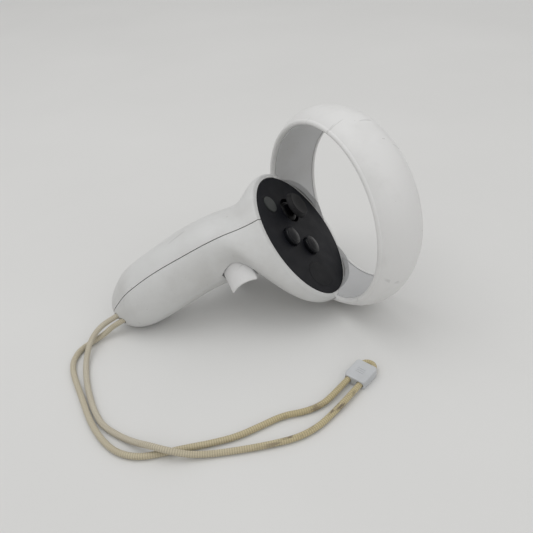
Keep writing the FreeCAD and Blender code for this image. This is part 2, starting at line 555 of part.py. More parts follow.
def trigger_pin():
    start_x = TRIGGER_MIDDLE_X - TRIGGER_WIDTH / 2 - PIN_OVERHANG
    return Part.makeCylinder(PIN_RADIUS, TRIGGER_WIDTH + 2 * PIN_OVERHANG,
                             V(start_x, TRIGGER_PIVOT_Y, TRIGGER_PIVOT_Z), X)


# ---- grip button ----
LEAN = math.radians(GRIP_BUTTON_LEAN)
GRIP_DOWN = V(0, -math.sin(LEAN), -math.cos(LEAN))    # along the button, towards the tail
GRIP_FRONT = V(0, math.cos(LEAN), -math.sin(LEAN))    # across it, away from the user
GRIP_MIDDLE = V(0, -25.75, -20.9)
GRIP_HALF_LENGTH = 6.5
GRIP_BACK, GRIP_BACK_BULGE = 9.6, 2.0    # its reach towards the user, and how far that side bows out
GRIP_FORE, GRIP_FORE_BULGE = 7.0, 2.5    # the same on its far side
GRIP_ROOT_X, GRIP_FACE_X, GRIP_GROOVE_RADIUS, GRIP_FACE_SLOPE = 2.6, 13.0, 11.2, 33.0
GRIP_SKIN, HUB_HALF, HUB_RADIUS = 1.8, 5.6, 2.4
ARM_THICK, ARM_LENGTH = 3.2, 6.0         # from the hub down into the paddle
GRIP_POCKET_GAP, HUB_ROOM_GAP = 0.45, 0.5
GRIP_POCKET_X = -0.4                     # how far in the pocket reaches, for the squeezed paddle


def grip_outline(offset, tail_extra=0.0):
    """Plan of the button: straight across its ends, bulged at the back and the front."""
    low, high = GRIP_HALF_LENGTH + offset + tail_extra, -GRIP_HALF_LENGTH - offset
    back, fore = GRIP_BACK + offset, GRIP_FORE + offset

    def at(along, across):
        return GRIP_MIDDLE + GRIP_DOWN * along + GRIP_FRONT * across

    corners = [at(high, GRIP_BACK_BULGE - back), at(low, GRIP_BACK_BULGE - back),
               at(low, fore - GRIP_FORE_BULGE), at(high, fore - GRIP_FORE_BULGE)]
    edges = [Part.Arc(corners[0], at(0, -back), corners[1]).toShape(),
             Part.LineSegment(corners[1], corners[2]).toShape(),
             Part.Arc(corners[2], at(0, fore), corners[3]).toShape(),
             Part.LineSegment(corners[3], corners[0]).toShape()]
    return Part.Face(Part.Wire(edges))


def grip_groove(extra):
    """The finger's hollow: its line falls away from the user, and extra widens it."""
    slope = math.radians(GRIP_FACE_SLOPE)
    line = GRIP_FRONT * math.cos(slope) - X * math.sin(slope)
    height = GRIP_FACE_X + GRIP_GROOVE_RADIUS / math.cos(slope)
    middle = GRIP_MIDDLE - GRIP_FRONT * (GRIP_BACK - 0.6) - GRIP_DOWN * 0.2 + X * height
    return Part.makeCylinder(GRIP_GROOVE_RADIUS + extra, 80, middle - line * 30, line)


def grip_button():
    """Paddle for the middle finger: a bulged block with a hollow outer face, hinged at its head end."""
    plan = grip_outline(0)
    plan.translate(X * GRIP_ROOT_X)
    paddle = plan.extrude(X * 16)
    corners = [e for e in paddle.Edges if e.BoundBox.XLength > 10]
    paddle = paddle.makeFillet(1.0, corners).cut(grip_groove(0))
    face_rim = [e for e in paddle.Edges if e.BoundBox.XMin > GRIP_ROOT_X + 0.5 and e.BoundBox.XLength < 10]
    paddle = paddle.makeFillet(0.5, face_rim)
    hollow = grip_outline(-GRIP_SKIN)
    hollow.translate(X * (GRIP_ROOT_X - 1))
    paddle = paddle.cut(hollow.extrude(X * 16).cut(grip_groove(GRIP_SKIN)))
    hub = Part.makeCylinder(HUB_RADIUS, 2 * HUB_HALF, GRIP_PIVOT - GRIP_FRONT * HUB_HALF, GRIP_FRONT)
    arm = Part.makeBox(ARM_THICK, ARM_LENGTH, 2 * HUB_HALF)
    arm.Placement = FreeCAD.Placement(GRIP_PIVOT - GRIP_FRONT * HUB_HALF - X * (ARM_THICK / 2),
                                      FreeCAD.Rotation(X, GRIP_DOWN, GRIP_FRONT, "ZXY"))
    bore = Part.makeCylinder(PIN_RADIUS + PIN_GAP, 60, GRIP_PIVOT - GRIP_FRONT * 30, GRIP_FRONT)
    coil_room = Part.makeCylinder(HUB_RADIUS + PIN_OVERHANG, SPRING_ROOM,
                                 GRIP_PIVOT - GRIP_FRONT * (SPRING_ROOM / 2), GRIP_FRONT)
    return paddle.fuse(hub).fuse(arm).cut(bore).cut(coil_room)


def grip_button_pocket():
    plan = grip_outline(GRIP_POCKET_GAP, tail_extra=0.5)
    plan.translate(X * GRIP_POCKET_X)
    return plan.extrude(X * 30)


def grip_hub_room():
    """Room inside the handle for the button's hub and the root of its arm."""
    half = HUB_HALF + 0.3
    hub = Part.makeCylinder(HUB_RADIUS + HUB_ROOM_GAP, 2 * half, GRIP_PIVOT - GRIP_FRONT * half, GRIP_FRONT)
    arm = Part.makeBox(ARM_THICK + 2.2, ARM_LENGTH + 1.0, 2 * half)
    arm.Placement = FreeCAD.Placement(GRIP_PIVOT - GRIP_FRONT * half - X * ARM_THICK,
                                      FreeCAD.Rotation(X, GRIP_DOWN, GRIP_FRONT, "ZXY"))
    return hub.fuse(arm)


def grip_button_pin():
    length = 2 * HUB_HALF + 3.0
    return Part.makeCylinder(PIN_RADIUS, length, GRIP_PIVOT - GRIP_FRONT * (length / 2), GRIP_FRONT)


# ---- battery bay and motor ----
def battery_at(distance):
    return BATTERY_FOOT + BATTERY_AXIS * distance


def battery_cell():
    body = Part.makeCylinder(BATTERY_RADIUS, BATTERY_LENGTH - NUB_HEIGHT, BATTERY_FOOT, BATTERY_AXIS)
    nub = Part.makeCylinder(NUB_RADIUS, NUB_HEIGHT, battery_at(BATTERY_LENGTH - NUB_HEIGHT), BATTERY_AXIS)
    return body.fuse(nub)


def battery_tray():
    """Trough round the inner half of the cell, with a wall at each end."""
    radius = BATTERY_RADIUS + TRAY_GAP
    length = TRAY_HEAD - TRAY_FOOT
    tube = Part.makeCylinder(radius + TRAY_WALL, length, battery_at(TRAY_FOOT), BATTERY_AXIS)
    bore = Part.makeCylinder(radius, length - 2 * TRAY_WALL, battery_at(TRAY_FOOT + TRAY_WALL), BATTERY_AXIS)
    side = (X - BATTERY_AXIS * X.dot(BATTERY_AXIS)).normalize()
    return tube.cut(bore).common(half_space(BATTERY_FOOT + side * 0.4, side))


def contact_plate():
    foot = battery_at(BATTERY_LENGTH + CONTACT_GAP)
    return Part.makeCylinder(CONTACT_RADIUS, CONTACT_THICK, foot, BATTERY_AXIS)


def contact_spring():
    """Coil that presses on the cell's flat end."""
    coil = wire_coil(CONTACT_COIL_RADIUS, CONTACT_COIL_PITCH)
    coil.Placement = FreeCAD.Placement(battery_at(CONTACT_COIL_START), FreeCAD.Rotation(Z, BATTERY_AXIS))
    return coil


def haptic_motor():
    can = Part.makeCylinder(MOTOR_RADIUS, MOTOR_THICK, MOTOR_SPOT, Z)
    return can.makeFillet(0.5, [e for e in can.Edges if len(e.Vertexes) == 1])


# ---- lanyard ----
ANCHOR_SIZE = V(7.4, 4.0, 3.0)           # across both strands, the other way, along them


def lanyard_anchor():
    """Block inside the tail that both ends of the cord are moulded into."""
    middle = (strand_start(STRAND_A) + strand_start(STRAND_B)) * 0.5
    across = (strand_start(STRAND_B) - strand_start(STRAND_A)).normalize()
    depth = TAIL_AXIS.cross(across)
    corner = middle - across * (ANCHOR_SIZE.x / 2) - depth * (ANCHOR_SIZE.y / 2) - TAIL_AXIS * ANCHOR_SIZE.z
    block = Part.makeBox(ANCHOR_SIZE.x, ANCHOR_SIZE.y, ANCHOR_SIZE.z)
    block.Placement = FreeCAD.Placement(corner, FreeCAD.Rotation(across, depth, TAIL_AXIS, "ZXY"))
    return block


def table_placement():
    """From the plate frame to the row frame: +Z up off the table, +X the way the ring faces."""
    ahead = (RING_AXIS - TABLE_UP * RING_AXIS.dot(TABLE_UP)).normalize()
    turn = FreeCAD.Rotation(ahead, TABLE_UP.cross(ahead), TABLE_UP, "ZXY").inverted()
    return FreeCAD.Placement(V(), turn).multiply(FreeCAD.Placement(-TABLE_POINT, FreeCAD.Rotation()))


def place(shape):
    shape.Placement = table_placement().multiply(shape.Placement)
    return shape


def lock_point(along, across, height=LOCK_CENTRE.z):
    """A point by the lanyard lock: along its strands and across them from its centre."""
    turn = math.radians(LOCK_TURN)
    spot = LOCK_CENTRE + V(math.cos(turn), math.sin(turn), 0) * along
    spot += V(-math.sin(turn), math.cos(turn), 0) * across
    return V(spot.x, spot.y, height)


# The cord's route over the table, from just past strand A's exit to the lock and back to strand B's exit.
INNER_ROUTE = [
    (-66.6, 32.6, 5.4), (-71.8, 27.4, 4.6), (-75.9, 21.4, 2.0), (-78.4, 14.4, 1.3), (-80.2, 6.6, 1.3),
    (-81.5, -2.1, 1.3), (-82.2, -10.7, 1.3), (-81.6, -18.8, 1.3), (-77.9, -27.0, 1.3), (-74.4, -33.6, 2.3),
    (-70.4, -40.4, 4.6), (-65.9, -45.9, 4.6), (-59.8, -50.2, 2.3), (-52.4, -53.9, 1.3), (-42.8, -58.3, 1.3),
    (-32.4, -62.4, 1.3), (-22.4, -65.5, 1.3), (-13.6, -65.6, 1.3), (-5.6, -63.5, 1.4)]
OUTER_ROUTE = [
    (-6.0, -57.7, 1.4), (-13.4, -56.9, 1.3), (-21.6, -53.6, 1.3), (-31.2, -53.1, 1.3), (-41.0, -52.4, 1.3),
    (-50.4, -49.6, 1.3), (-59.4, -46.1, 1.3), (-67.8, -43.3, 1.3), (-75.0, -40.3, 1.3), (-80.2, -35.3, 1.3),
    (-83.2, -28.9, 1.3), (-84.8, -20.4, 1.3), (-85.1, -10.9, 1.3), (-84.4, -1.8, 1.3), (-83.9, 7.8, 1.3),
    (-83.3, 16.6, 1.3), (-81.3, 23.8, 1.3), (-76.6, 29.2, 1.3), (-70.4, 31.0, 1.3), (-64.4, 31.3, 2.5)]


def lock_route():
    """Through the lock along one bore, round the tight fold and back through the other."""
    half, fold = STRAND_SPACING / 2, LOCK_FOLD
    bend = half * math.tan(math.radians(22.5))
    lead = [(-15.0, half), (-5.4, half - 0.04), (1.4, half)]
    turn = [(fold + bend, half), (fold + half, bend)]
    there = [lock_point(along, -across) for along, across in lead + turn]
    back = [lock_point(along, across) for along, across in reversed(lead + turn)]
    return there + back


def lanyard_route():
    to_table = table_placement()
    ends = []
    for exit_point in (STRAND_A, STRAND_B):
        ends.append([to_table.multVec(strand_start(exit_point)),
                     to_table.multVec(exit_point + TAIL_AXIS * STRAND_LEAD)])
    inner, outer = [V(*p) for p in INNER_ROUTE], [V(*p) for p in OUTER_ROUTE]
    return ends[0] + inner + lock_route() + outer + ends[1][::-1]


def lanyard_cord():
    """One cord from the anchor, through the lock and back, as straight runs joined by tangent arcs."""
    route = lanyard_route()
    edges, radii, last = [], [], route[0]
    for before, corner, after in zip(route, route[1:], route[2:]):
        arriving, leaving = corner - before, after - corner
        trim = 0.45 * min(arriving.Length, leaving.Length)
        half_turn = arriving.getAngle(leaving) / 2
        radius = trim / math.tan(half_turn)
        radii.append(radius)
        start = corner - arriving.normalize() * trim
        end = corner + leaving.normalize() * trim
        inward = (start + end) * 0.5 - corner
        middle = corner + inward.normalize() * (radius / math.cos(half_turn) - radius)
        edges.append(Part.LineSegment(last, start).toShape())
        edges.append(Part.Arc(start, middle, end).toShape())
        last = end
    edges.append(Part.LineSegment(last, route[-1]).toShape())
    path = Part.Wire(edges)
    profile = Part.Wire(Part.makeCircle(LANYARD_RADIUS, route[0], route[1] - route[0]))
    cord = path.makePipeShell([profile], True, True)
    expected = math.pi * LANYARD_RADIUS ** 2 * path.Length
    print(f"lanyard length {path.Length:.1f}  volume {cord.Volume:.1f} against {expected:.1f}")
    print("lanyard radii", " ".join(f"{r:.1f}" for r in radii))
    return cord


def lanyard_lock():
    """Flat clip with a bore for each strand; it slides along them."""
    corner = V(-LOCK_LENGTH / 2, -LOCK_WIDTH / 2, -LOCK_THICK / 2)
    body = Part.makeBox(LOCK_LENGTH, LOCK_WIDTH, LOCK_THICK, corner)
    upright = [e for e in body.Edges if e.BoundBox.ZLength > LOCK_THICK - 0.1]
    body = body.makeFillet(LOCK_CORNER, upright)
    body = body.makeFillet(LOCK_EDGE, [e for e in body.Edges if e.BoundBox.ZLength < 0.01])
    for side in (-1, 1):
        start = V(-LOCK_LENGTH, side * STRAND_SPACING / 2, 0)
        body = body.cut(Part.makeCylinder(LANYARD_RADIUS + LOCK_BORE_GAP, 2 * LOCK_LENGTH, start, X))
    body.Placement = FreeCAD.Placement(LOCK_CENTRE, FreeCAD.Rotation(Z, LOCK_TURN))
    return body


def build():
    grip_shell, battery_cover = handle_shells()
    trigger_middle = V(TRIGGER_MIDDLE_X, TRIGGER_PIVOT_Y, TRIGGER_PIVOT_Z)
    controller = {
        "grip_shell": grip_shell,
        "battery_cover": battery_cover,
        "inner_frame": inner_frame(),
        "ring_shell_outer": ring_shell_outer(),
        "ring_shell_inner": ring_shell_inner(),
        "led_strip": led_strip(),
        "ring_leds": ring_leds(),
        "face_plate": face_plate(),
        "thumb_rest": thumb_rest(),
        "chassis": chassis(),
        "lower_face_button": face_button(LOWER_BUTTON),
        "upper_face_button": face_button(UPPER_BUTTON),
        "menu_button": menu_button(),
        "switch_domes": switch_domes(),
        "control_board": control_board(),
        "chassis_screws": chassis_screws(),
        "stick_cap": stick_cap(),
        "stick_dome": stick_dome(),
        "stick_rocker": stick_rocker(),
        "stick_cradle": stick_cradle(),
        "stick_module": stick_module(),
        "index_trigger": index_trigger(),
        "trigger_pin": trigger_pin(),
        "trigger_spring": torsion_spring(trigger_middle, X),
        "grip_button": grip_button(),
        "grip_button_pin": grip_button_pin(),
        "grip_button_spring": torsion_spring(GRIP_PIVOT, GRIP_FRONT),
        "battery_tray": battery_tray(),
        "battery_cell": battery_cell(),
        "contact_plate": contact_plate(),
        "contact_spring": contact_spring(),
        "haptic_motor": haptic_motor(),
        "lanyard_anchor": lanyard_anchor(),
    }
    pieces = {name: place(shape) for name, shape in controller.items()}
    pieces["lanyard_cord"] = lanyard_cord()
    pieces["lanyard_lock"] = lanyard_lock()
    return pieces


def main():
    os.makedirs("parts", exist_ok=True)
    for name, shape in build().items():
        box = shape.BoundBox
        print(f"{name:22s} {shape.ShapeType:9s} solids {len(shape.Solids)} valid {shape.isValid()}"
              f" volume {shape.Volume:9.1f}  x {box.XMin:6.1f} {box.XMax:6.1f}"
              f"  y {box.YMin:6.1f} {box.YMax:6.1f}  z {box.ZMin:6.1f} {box.ZMax:6.1f}")
        shape.exportStep(f"parts/{name}.step")


main()
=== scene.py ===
"""Left-hand tracked motion controller lying on a table, with its wrist lanyard laid out beside it."""
import json
import math

import bpy
from mathutils import Matrix, Vector


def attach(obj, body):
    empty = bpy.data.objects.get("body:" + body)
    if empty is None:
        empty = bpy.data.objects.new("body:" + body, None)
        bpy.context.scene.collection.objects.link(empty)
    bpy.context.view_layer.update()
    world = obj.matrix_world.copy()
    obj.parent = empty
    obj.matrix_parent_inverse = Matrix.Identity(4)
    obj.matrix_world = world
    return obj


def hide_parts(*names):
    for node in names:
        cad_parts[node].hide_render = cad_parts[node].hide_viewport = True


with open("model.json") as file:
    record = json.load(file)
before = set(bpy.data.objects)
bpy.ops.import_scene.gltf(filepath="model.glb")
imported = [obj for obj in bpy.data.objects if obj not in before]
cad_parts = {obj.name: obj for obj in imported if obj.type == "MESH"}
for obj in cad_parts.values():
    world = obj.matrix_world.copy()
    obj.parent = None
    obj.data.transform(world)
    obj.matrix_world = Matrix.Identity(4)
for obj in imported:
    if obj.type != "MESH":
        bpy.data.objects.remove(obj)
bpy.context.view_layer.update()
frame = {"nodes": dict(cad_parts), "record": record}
nodes = frame["nodes"]
scene = bpy.context.scene

# ---- the view, metres ----
CAMERA_AT = Vector((-0.09346, -0.18842, 0.18043))
CAMERA_RIGHT = Vector((0.85653, -0.51048, -0.07599))
CAMERA_AHEAD = Vector((0.37810, 0.72080, -0.58094))
LENS_MM, SENSOR_MM = 40.53, 36.0
CLIP_START, CLIP_END = 0.01, 20.0

# ---- the lanyard, metres: one cord from the tail, through its lock and back to the tail ----
CORD_DIAMETER, CORD_LENGTH = 0.0026, 0.407
CORD_ROUTE_MM = [
    (-50.9, 30.7, 11.3), (-60.3, 34.8, 6.4), (-66.6, 32.6, 5.4), (-71.8, 27.4, 4.6),
    (-75.9, 21.4, 2.0), (-78.4, 14.4, 1.3), (-80.2, 6.6, 1.3), (-81.5, -2.1, 1.3),
    (-82.2, -10.7, 1.3), (-81.6, -18.8, 1.3), (-77.9, -27.0, 1.3), (-74.4, -33.6, 2.3),
    (-70.4, -40.4, 4.6), (-65.9, -45.9, 4.6), (-59.8, -50.2, 2.3), (-52.4, -53.9, 1.3),
    (-42.8, -58.3, 1.3), (-32.4, -62.4, 1.3), (-22.4, -65.5, 1.3), (-13.6, -65.6, 1.3),
    (-5.6, -63.5, 1.4), (1.9, -61.5, 2.1), (11.0, -58.3, 2.1), (17.4, -56.1, 2.1),
    (21.6, -54.6, 2.1), (22.6, -52.6, 2.1), (21.8, -50.5, 2.1), (19.8, -49.5, 2.1),
    (15.6, -51.0, 2.1), (9.2, -53.3, 2.1), (0.1, -56.4, 2.1), (-6.0, -57.7, 1.4),
    (-13.4, -56.9, 1.3), (-21.6, -53.6, 1.3), (-31.2, -53.1, 1.3), (-41.0, -52.4, 1.3),
    (-50.4, -49.6, 1.3), (-59.4, -46.1, 1.3), (-67.8, -43.3, 1.3), (-75.0, -40.3, 1.3),
    (-80.2, -35.3, 1.3), (-83.2, -28.9, 1.3), (-84.8, -20.4, 1.3), (-85.1, -10.9, 1.3),
    (-84.4, -1.8, 1.3), (-83.9, 7.8, 1.3), (-83.3, 16.6, 1.3), (-81.3, 23.8, 1.3),
    (-76.6, 29.2, 1.3), (-70.4, 31.0, 1.3), (-64.4, 31.3, 2.5), (-58.9, 31.7, 5.2),
    (-50.9, 28.2, 9.3)]
BRAID_STRANDS, BRAID_PITCH, BRAID_RELIEF = 8, 0.002, 0.00015
WEFT_PITCH = 0.0009                           # from one cross thread to the next
# Where along the cord, from 0 to 1, it has yellowed and where it is stained. The lock is near the
# middle.
YELLOWING = [(0.22, 0.1), (0.38, 0.85), (0.6, 0.9), (0.8, 0.25)]
STAINING = [(0.33, 0.0), (0.37, 1.0), (0.44, 1.0), (0.46, 0.1), (0.56, 0.1), (0.585, 0.9),
            (0.62, 0.05)]
CORD_RINGS_PER_METRE, CORD_SIDES = 5000, 28
ROUTE_STEPS = 16                              # curve points to each span of the route

# ---- the gap between the tracking ring's near lip and its liner, metres ----
RING_CENTRE = Vector((0.032265, -0.001384, 0.045255))
RING_AXIS = Vector((0.99971, 0.0, -0.024066))
RING_SIDE = Vector((-0.014959, -0.783354, -0.621396))
RING_SEAL_RADII, RING_SEAL_HEIGHTS = (0.03878, 0.0397), (0.00212, 0.00298)
RING_SEAL_TURNS = (146.0, 394.0)              # degrees round the ring, clear of the plate
RING_SEAL_STEP = 2                            # degrees

# ---- the lanyard lock's marks, metres ----
LOCK_CENTRE, LOCK_TURN, LOCK_TOP = Vector((0.0152, -0.054, 0.0)), 19.1, 0.0042
LOCK_RIB = (0.0034, 0.0005, 0.0003)
LOCK_RIB_SHIFTS = (-0.001, 0.0, 0.001)        # along the lock


def mesh_object(name, vertices, faces):
    mesh = bpy.data.meshes.new(name)
    mesh.from_pydata(vertices, [], faces)
    mesh.update()
    made = bpy.data.objects.new(name, mesh)
    scene.collection.objects.link(made)
    return made


def add_camera():
    data = bpy.data.cameras.new("camera")
    data.lens, data.sensor_width, data.sensor_fit = LENS_MM, SENSOR_MM, "HORIZONTAL"
    data.clip_start, data.clip_end = CLIP_START, CLIP_END
    camera = bpy.data.objects.new("camera", data)
    scene.collection.objects.link(camera)
    ahead, right = CAMERA_AHEAD.normalized(), CAMERA_RIGHT.normalized()
    turn = Matrix((right, right.cross(ahead), -ahead)).transposed().to_4x4()
    camera.matrix_world = Matrix.Translation(CAMERA_AT) @ turn
    scene.camera = camera


def route_points():
    """Closely spaced points along the route's smooth curve."""
    curve = bpy.data.curves.new("route", "CURVE")
    curve.dimensions = "3D"
    curve.resolution_u = ROUTE_STEPS
    spline = curve.splines.new("NURBS")
    spline.points.add(len(CORD_ROUTE_MM) - 1)
    for point, (x, y, z) in zip(spline.points, CORD_ROUTE_MM):
        point.co = (x / 1000, y / 1000, z / 1000, 1)
    spline.order_u = 3
    spline.use_endpoint_u = True
    holder = bpy.data.objects.new("route", curve)
    scene.collection.objects.link(holder)
    bpy.context.view_layer.update()
    mesh = bpy.data.meshes.new_from_object(holder)
    points = [v.co.copy() for v in mesh.vertices]
    bpy.data.objects.remove(holder)
    bpy.data.meshes.remove(mesh)
    bpy.data.curves.remove(curve)
    return points


def evenly(points, step):
    """The same line with points a fixed step apart, and how far along it each one is."""
    out, marks, travelled, due = [points[0]], [0.0], 0.0, step
    for a, b in zip(points, points[1:]):
        length = (b - a).length
        while travelled + length >= due:
            out.append(a.lerp(b, (due - travelled) / length))
            marks.append(due)
            due += step
        travelled += length
    return out, marks


def braided_cord():
    """Tube that follows the route, with the braid's crossing strands standing out of its surface."""
    line, marks = evenly(route_points(), 1 / CORD_RINGS_PER_METRE)
    radius = CORD_DIAMETER / 2
    side = Vector((0, 0, 1))
    vertices, uvs = [], []
    for i, (centre, mark) in enumerate(zip(line, marks)):
        ahead = (line[min(i + 1, len(line) - 1)] - line[max(i - 1, 0)]).normalized()
        side = (side - ahead * side.dot(ahead)).normalized()
        across = ahead.cross(side)
        for k in range(CORD_SIDES):
            turn = 2 * math.pi * k / CORD_SIDES
            twist = 2 * math.pi * mark / BRAID_PITCH
            left = math.sin(BRAID_STRANDS / 2 * turn + twist)
            right = math.sin(BRAID_STRANDS / 2 * turn - twist)
            relief = BRAID_RELIEF * (abs(left) + abs(right) - 1.0)
            away = side * math.cos(turn) + across * math.sin(turn)
            vertices.append(centre + away * (radius - BRAID_RELIEF + relief))
            uvs.append((mark, k / CORD_SIDES))
    faces = []
    for i in range(len(line) - 1):
        for k in range(CORD_SIDES):
            a, b = i * CORD_SIDES + k, i * CORD_SIDES + (k + 1) % CORD_SIDES
            faces.append((a, b, b + CORD_SIDES, a + CORD_SIDES))
    faces.append(tuple(range(CORD_SIDES - 1, -1, -1)))
    last = (len(line) - 1) * CORD_SIDES
    faces.append(tuple(range(last, last + CORD_SIDES)))
    cord = mesh_object("wrist_cord", vertices, faces)
    layer = cord.data.uv_layers.new(name="along_cord")
    for loop in cord.data.loops:
        layer.data[loop.index].uv = uvs[loop.vertex_index]
    cord.data.shade_smooth()
    return cord, line


add_camera()
cord, cord_line = braided_cord()
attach(cord, "handle")
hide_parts("lanyard_cord")


def solid_piece(name, vertices, faces, body):
    """A rigid piece that moves with a body."""
    piece = mesh_object(name, vertices, faces)
    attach(piece, body)
    return piece


def ring_seal():
    """Pale band that closes the slit between the ring's near lip and its liner."""
    down = RING_AXIS.cross(RING_SIDE).normalized()
    start, end = RING_SEAL_TURNS
    steps = int((end - start) / RING_SEAL_STEP)
    (inner, outer), (near, far) = RING_SEAL_RADII, RING_SEAL_HEIGHTS
    section = [(inner, far), (inner, near), (outer, near), (outer, far)]
    vertices, faces = [], []
    for i in range(steps + 1):
        turn = math.radians(start + (end - start) * i / steps)
        away = RING_SIDE * math.cos(turn) + down * math.sin(turn)
        vertices += [RING_CENTRE + away * radius + RING_AXIS * height
                     for radius, height in section]
    for i in range(steps):
        for k in range(4):
            a, b = 4 * i + k, 4 * i + (k + 1) % 4
            faces.append((a, b, b + 4, a + 4))
    faces += [(3, 2, 1, 0), tuple(range(4 * steps, 4 * steps + 4))]
    return solid_piece("ring_seal", vertices, faces, "handle")


BOX_FACES = ((0, 3, 2, 1), (4, 5, 6, 7), (0, 1, 5, 4), (1, 2, 6, 5), (2, 3, 7, 6), (3, 0, 4, 7))


def lock_ribs():
    """Three short raised ribs across the top of the lanyard lock."""
    along = Vector((math.cos(math.radians(LOCK_TURN)), math.sin(math.radians(LOCK_TURN)), 0))
    across, up = Vector((-along.y, along.x, 0)), Vector((0, 0, 1))
    length, width, height = LOCK_RIB
    vertices, faces = [], []
    for shift in LOCK_RIB_SHIFTS:
        middle = LOCK_CENTRE + up * LOCK_TOP + along * shift
        first = len(vertices)
        for z in (-height / 2, height / 2):
            for x, y in ((-1, -1), (1, -1), (1, 1), (-1, 1)):
                vertices.append(middle + along * x * width / 2 + across * y * length / 2 + up * z)
        for face in BOX_FACES:
            faces.append(tuple(first + corner for corner in face))
    return solid_piece("lock_ribs", vertices, faces, "lanyard_lock")


seal, ribs = ring_seal(), lock_ribs()


# ---- materials ----
class Shader:
    """A Principled material under construction, with short calls for the nodes that it uses."""

    def __init__(self, name, roughness=0.5, metallic=0.0, coat=0.0, specular=0.5):
        self.material = bpy.data.materials.new(name)
        self.material.use_nodes = True
        self.tree = self.material.node_tree
        self.surface = self.tree.nodes["Principled BSDF"]
        self.surface.inputs["Roughness"].default_value = roughness
        self.surface.inputs["Metallic"].default_value = metallic
        self.surface.inputs["Coat Weight"].default_value = coat
        self.surface.inputs["Specular IOR Level"].default_value = specular
        self.place = self.tree.nodes.new("ShaderNodeTexCoord").outputs["Object"]

    def node(self, kind, **settings):
        node = self.tree.nodes.new(kind)
        for name, value in settings.items():
            setattr(node, name, value)
        return node

    def link(self, output, socket):
        self.tree.links.new(output, socket)

    def noise(self, scale, detail=3.0, stretch=(1, 1, 1), roughness=0.5, place=None):
        """Value noise with a given number of features to the metre."""
        mapping = self.node("ShaderNodeMapping")
        mapping.inputs["Scale"].default_value = stretch
        self.link(place or self.place, mapping.inputs["Vector"])
        noise = self.node("ShaderNodeTexNoise")
        noise.inputs["Scale"].default_value = scale
        noise.inputs["Detail"].default_value = detail
        noise.inputs["Roughness"].default_value = roughness
        self.link(mapping.outputs["Vector"], noise.inputs["Vector"])
        return noise.outputs["Fac"]

    def ramp(self, factor, stops):
        """Colour ramp; each stop is a place from 0 to 1 and a colour or a grey."""
        ramp = self.node("ShaderNodeValToRGB")
        elements = ramp.color_ramp.elements
        while len(elements) < len(stops):
            elements.new(0.5)
        for element, (at, colour) in zip(elements, stops):
            grey = isinstance(colour, (int, float))
            element.position = at
            element.color = (colour, colour, colour, 1) if grey else (*colour, 1)
        self.link(factor, ramp.inputs["Fac"])
        return ramp.outputs["Color"]

    def mix(self, factor, a, b):
        mix = self.node("ShaderNodeMix", data_type="RGBA")
        for socket, value in (("Factor", factor), ("A", a), ("B", b)):
            target = next(s for s in mix.inputs if s.name == socket and s.enabled)
            if hasattr(value, "is_linked"):
                self.link(value, target)
            else:
                target.default_value = value if socket == "Factor" else (*value, 1)
        return next(s for s in mix.outputs if s.enabled)

    def colour(self, output):
        self.link(output, self.surface.inputs["Base Color"])

    def roughness(self, factor, low, high):
        self.link(self.ramp(factor, [(0.3, low), (0.7, high)]), self.surface.inputs["Roughness"])

    def bump(self, layers):
        """Bump from (height, distance in metres) layers, one on the other."""
        normal = None
        for height, distance in layers:
            bump = self.node("ShaderNodeBump")
            bump.inputs["Distance"].default_value = distance
            self.link(height, bump.inputs["Height"])
            if normal:
                self.link(normal, bump.inputs["Normal"])
            normal = bump.outputs["Normal"]
        self.link(normal, self.surface.inputs["Normal"])


def moulded_plastic(name, colour, roughness, grain=2600, depth=0.00002, mottle=0.05, specular=0.5,
                    coat=0.0):
    """Moulded plastic: fine spark grain, faint handling marks in both colour and gloss."""
    s = Shader(name, roughness, specular=specular, coat=coat)
    smudge = s.noise(55, 4, roughness=0.6)
    dark = tuple(c * (1 - mottle) for c in colour)
    light = tuple(min(1.0, c * (1 + mottle)) for c in colour)
    s.colour(s.ramp(smudge, [(0.3, dark), (0.7, light)]))
    s.roughness(s.noise(140, 4), roughness - 0.06, roughness + 0.06)
    s.bump([(s.noise(grain, 2), depth), (s.noise(grain / 6, 2), depth * 0.6)])
    return s.material


SPECK_COLOUR = (0.3, 0.29, 0.27)
SCUFF_SHADE = 0.8                             # a scuff's tone as a share of the worn tone


def shell_plastic(name, clean, worn, wear_from):
    """Pale shell: spark grain, grey handling smudges, thin scuffs and a few dark specks."""
    s = Shader(name, 0.42, specular=0.4)
    base = s.ramp(s.noise(38, 5, roughness=0.62),
                  [(wear_from - 0.14, worn), (wear_from + 0.12, clean)])
    scuffs = s.ramp(s.noise(70, 2, stretch=(1, 6, 1.6)), [(0.69, 0.0), (0.73, 0.5)])
    scuffed = s.mix(scuffs, base, tuple(c * SCUFF_SHADE for c in worn))
    specks = s.ramp(s.noise(700, 2), [(0.76, 0.0), (0.79, 0.7)])
    s.colour(s.mix(specks, scuffed, SPECK_COLOUR))
    s.roughness(s.noise(120, 4), 0.36, 0.5)
    s.bump([(s.noise(3200, 2), 0.000014), (s.noise(500, 2), 0.000012)])
    return s.material


def brushed_metal(name, colour, roughness=0.32):
    """Metal with fine brushing along one direction."""
    s = Shader(name, roughness, metallic=1.0)
    brushing = s.noise(900, 3, stretch=(1, 1, 0.05))
    s.colour(s.ramp(brushing, [(0.3, tuple(c * 0.85 for c in colour)), (0.7, colour)]))
    s.roughness(brushing, roughness - 0.06, roughness + 0.08)
    s.bump([(brushing, 0.000008)])
    return s.material


# The cord's colours: each thread runs from its shaded side to its lit side.
PALE_THREAD = (0.5, 0.46, 0.375), (0.68, 0.64, 0.54)
YELLOW_THREAD = (0.45, 0.375, 0.195), (0.64, 0.555, 0.325)
GRIME, STAIN, WEFT_SHADOW = (0.33, 0.27, 0.18), (0.14, 0.11, 0.09), (0.24, 0.2, 0.14)
WAVE_RADIANS = 20                             # the wave texture's phase for each unit of its vector


